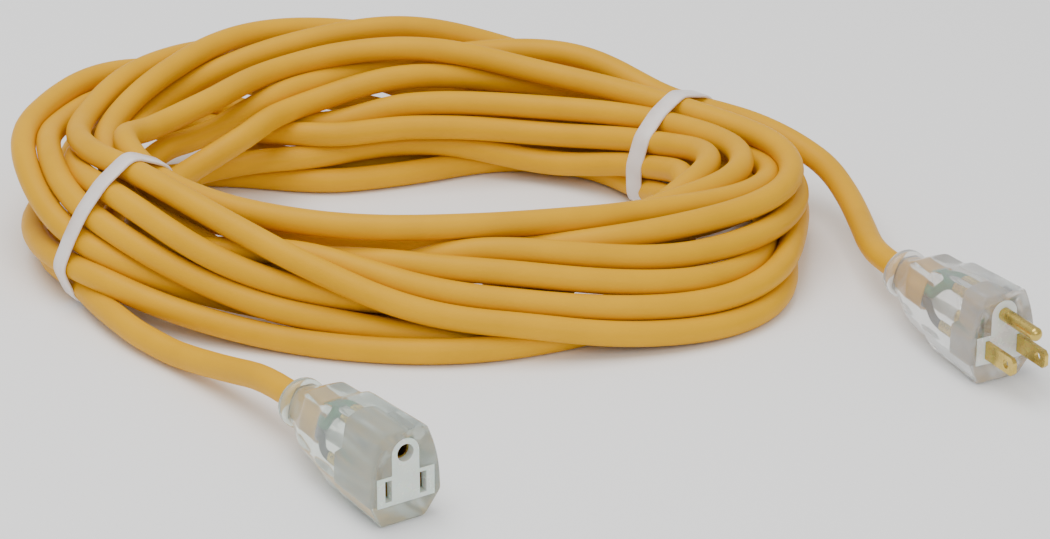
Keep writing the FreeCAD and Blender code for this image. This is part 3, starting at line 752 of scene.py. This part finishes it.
# Cross-sections of a moulding: distance from the back of the collar, then half of its flat top, half of
# its height and half of its width. They are those of part.py, with the shoulder and the dip rounded.
NECK = 0.0073
SECTIONS = (
    (0.0028, 0.45 * NECK, 0.97 * NECK, 0.93 * NECK),
    (0.0070, 0.50 * NECK, 1.05 * NECK, 1.00 * NECK),
    (0.0170, 0.40 * AXIS_HEIGHT, 0.76 * AXIS_HEIGHT, 0.66 * AXIS_HEIGHT),
    (0.0270, 0.45 * AXIS_HEIGHT, 0.76 * AXIS_HEIGHT, 0.70 * AXIS_HEIGHT),
    (0.0310, 0.49 * AXIS_HEIGHT, 0.88 * AXIS_HEIGHT, 0.77 * AXIS_HEIGHT),
    (None, 0.50 * AXIS_HEIGHT, 1.00 * AXIS_HEIGHT, 0.79 * AXIS_HEIGHT),
)
# The crease between a side and the foot is this part of the half height below the axis.
CREASE = 0.44
# Towards the face the foot leans back, this far at its lowest, from LEAN_START on.
FOOT_LEAN = 0.0022
LEAN_START = 0.040
CORNER = 0.0013
# Each outline's size is the mean of those this far before and after it, which rounds the steps.
BLEND = 0.0012
OUTLINE_POINTS = 160
FACE_EDGE = 0.0009
# The rounded edge of the face: how far back from the face and how far in, as parts of FACE_EDGE.
FACE_ROUNDING = ((1.0, 0.0), (0.6, 0.08), (0.3, 0.25), (0.08, 0.6), (0.0, 1.0))
# Where outlines are made on the neck and the grip, close together where the size changes.
STATIONS = (
    0.0034, 0.0050, 0.0065, 0.0080, 0.0095, 0.0110, 0.0125, 0.0140, 0.0153, 0.0163, 0.0170, 0.0178,
    0.0190, 0.0205, 0.0220, 0.0235, 0.0250, 0.0262, 0.0272, 0.0280, 0.0288, 0.0296, 0.0304, 0.0312,
)
BLOCK_START = 0.0330
BLOCK_STATIONS = 12
# The pebbled panel on each side: how far out it starts, its lowest and highest, where it starts along
# the moulding and how far short of the face it ends.
PANEL_OUT = 0.0098
PANEL_LOW = -0.0066
PANEL_HIGH = 0.0125
PANEL_START = 0.034
PANEL_SHORT = 0.0035
# The pocket in the face: half its foot's width, the foot's top and bottom, the lobe's radius and the
# height of its middle, all from the axis.
POCKET_FOOT = 0.01061
POCKET_TOP = 0.00204
POCKET_BOTTOM = -0.00824
LOBE_RADIUS = 0.00506
LOBE_HEIGHT = 0.0089
COLLAR_RADIUS = 0.0086
COLLAR_THICKNESS = 0.0034
COLLAR_EDGE = 0.0009
COLLAR_BORE = CORD / 2 + 0.00005
COLLAR_CHAMFER = 0.0004


def section_outline(half_flat, half_height, half_width):
    """Rounded outline of a section, clockwise from the middle of its top, as (across, up) points."""
    crease = -CREASE * half_height
    side = []
    for t in np.linspace(0.0, 1.0, 9):
        bulge = 0.10 * half_height * math.sin(math.pi * t) * (1.0 - 0.3 * t)
        across = half_flat + (half_width - half_flat) * t + bulge
        side.append((across, half_height + (crease - half_height) * t))
    right = [(0.0, half_height)] + side + [(half_flat, -half_height), (0.0, -half_height)]
    left = [(-across, up) for across, up in right[-2:0:-1]]
    outline, apart = even_loop(np.array(right + left), OUTLINE_POINTS)
    return soften(outline, max(1, int((CORNER / apart) ** 2)))


def place_of(route):
    """Where a moulding is: its origin at the end of its lead, its +X along the lead's last run."""
    before, end = Vector(route[-2]), Vector(route[-1])
    run = end - before
    turned = Matrix.Rotation(math.atan2(run.y, run.x), 4, "Z")
    return Matrix.Translation(end) @ turned


def sizes_at(at, length):
    """Half flat, half height and half width of the moulding at a distance from its back."""
    stations = [length if row[0] is None else row[0] for row in SECTIONS]
    return [np.interp(at, stations, [row[column] for row in SECTIONS]) for column in (1, 2, 3)]


def pocket_shape(place, low, high):
    """What the pocket takes out of a moulding, for its inner block: a round lobe over a broad foot."""
    lobe = [
        (LOBE_RADIUS * math.cos(turn), LOBE_HEIGHT + LOBE_RADIUS * math.sin(turn))
        for turn in np.linspace(0, math.pi, 17)
    ]
    outline = [(-POCKET_FOOT, POCKET_BOTTOM), (POCKET_FOOT, POCKET_BOTTOM), (POCKET_FOOT, POCKET_TOP)]
    outline += [(LOBE_RADIUS, POCKET_TOP)] + lobe + [(-LOBE_RADIUS, POCKET_TOP)]
    outline += [(-POCKET_FOOT, POCKET_TOP)]
    tool = bmesh.new()
    near = [tool.verts.new(place @ Vector((low, y, z))) for y, z in outline]
    far = [tool.verts.new(place @ Vector((high, y, z))) for y, z in outline]
    join_rings(tool, [near, far])
    tool.faces.new(near[::-1])
    tool.faces.new(far)
    return tool


def moulding_ring(tool, place, at, inward, length):
    """The ring of vertices at a distance from the back, drawn in a little at the edge of the face."""
    around = [sizes_at(at + shift, length) for shift in np.linspace(-BLEND, BLEND, 5)]
    half_flat, half_height, half_width = np.mean(around, axis=0)
    outline = section_outline(half_flat, half_height, half_width)
    outline = outline * (1 - inward * FACE_EDGE / AXIS_HEIGHT)
    crease = -CREASE * half_height
    ring = []
    for across, up in outline:
        lean = 0.0
        if up < crease and at > LEAN_START:
            towards_face = (at - LEAN_START) / (length - LEAN_START)
            lean = FOOT_LEAN * towards_face**3 * (crease - up) / (half_height + crease)
        ring.append(tool.verts.new(place @ Vector((at - lean, across, up))))
    return ring


def moulding(name, node, route, length, pocket_depth, looks):
    """Collar, neck, grip and block in clear vinyl, with pebbled side panels and a pocket in the face."""
    place = place_of(route)
    tool = bmesh.new()
    stations = [(at, 0.0) for at in STATIONS]
    stations += [(at, 0.0) for at in np.linspace(BLOCK_START, length - 0.003, BLOCK_STATIONS)]
    stations += [(length - back * FACE_EDGE, inward) for back, inward in FACE_ROUNDING]
    rings = [moulding_ring(tool, place, at, inward, length) for at, inward in stations]
    from_world = place.inverted()
    for face in join_rings(tool, rings):
        middle = from_world @ face.calc_center_median()
        on_side = abs(middle.y) > PANEL_OUT and PANEL_LOW < middle.z < PANEL_HIGH
        if on_side and PANEL_START < middle.x < length - PANEL_SHORT:
            face.material_index = 1
    tool.faces.new(rings[0][::-1])
    tool.faces.new(rings[-1])
    body = object_from(name, tool, "clear_moulding", *looks)
    shape = pocket_shape(place, length - pocket_depth, length + 0.002)
    cutter = object_from(name + "_cutter", shape, "clear_moulding", looks[0])
    pocket = body.modifiers.new("pocket", "BOOLEAN")
    pocket.operation = "DIFFERENCE"
    pocket.solver = "EXACT"
    pocket.object = cutter
    settle(body)
    bpy.data.objects.remove(cutter)
    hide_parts(node)
    collar(name.replace("_look", "_collar"), place, looks[0])


def rounded_edge(x, radius, turns, way):
    """Points round one edge of the collar, about an arc's middle at x and radius."""
    return [
        (x + way * COLLAR_EDGE * math.sin(turn), radius + COLLAR_EDGE * math.cos(turn))
        for turn in turns
    ]


def collar(name, place, look):
    """The round flange at the back of a moulding, with the cord's way through it."""
    shoulder = COLLAR_RADIUS - COLLAR_EDGE
    profile = [(0.0, COLLAR_BORE + COLLAR_CHAMFER), (0.0, shoulder)]
    profile += rounded_edge(COLLAR_EDGE, shoulder, math.pi / 2 - np.linspace(0.2, math.pi / 2, 4), -1)
    profile += rounded_edge(COLLAR_THICKNESS - COLLAR_EDGE, shoulder, np.linspace(0.0, math.pi / 2, 5), 1)
    profile += [(COLLAR_THICKNESS, COLLAR_BORE), (COLLAR_CHAMFER, COLLAR_BORE)]
    tool = bmesh.new()
    rings = [
        [tool.verts.new(place @ Vector((x, r * math.cos(turn), r * math.sin(turn)))) for x, r in profile]
        for turn in np.linspace(0, 2 * math.pi, 64, endpoint=False)
    ]
    join_rings(tool, rings + rings[:1])
    object_from(name, tool, "clear_moulding", look)


PLUG_LENGTH = 0.061
PLUG_POCKET = 0.01406
CONNECTOR_LENGTH = 0.065
CONNECTOR_POCKET = 0.02406
moulding("plug_look", "plug_body", PLUG_LEAD, PLUG_LENGTH, PLUG_POCKET, LOOKS["plug"])
moulding(
    "connector_look", "connector_body", CONNECTOR_LEAD, CONNECTOR_LENGTH, CONNECTOR_POCKET,
    LOOKS["connector"],
)


# ---------------------------------------------------------------- floor

tool = bmesh.new()
bmesh.ops.create_grid(tool, x_segments=2, y_segments=2, size=4.0)
mesh = bpy.data.meshes.new("floor")
tool.to_mesh(mesh)
tool.free()
floor = bpy.data.objects.new("floor", mesh)
bpy.context.scene.collection.objects.link(floor)
paint(floor, floor_material())

# The scene is brought up to date once everything is in its place.
bpy.context.view_layer.update()
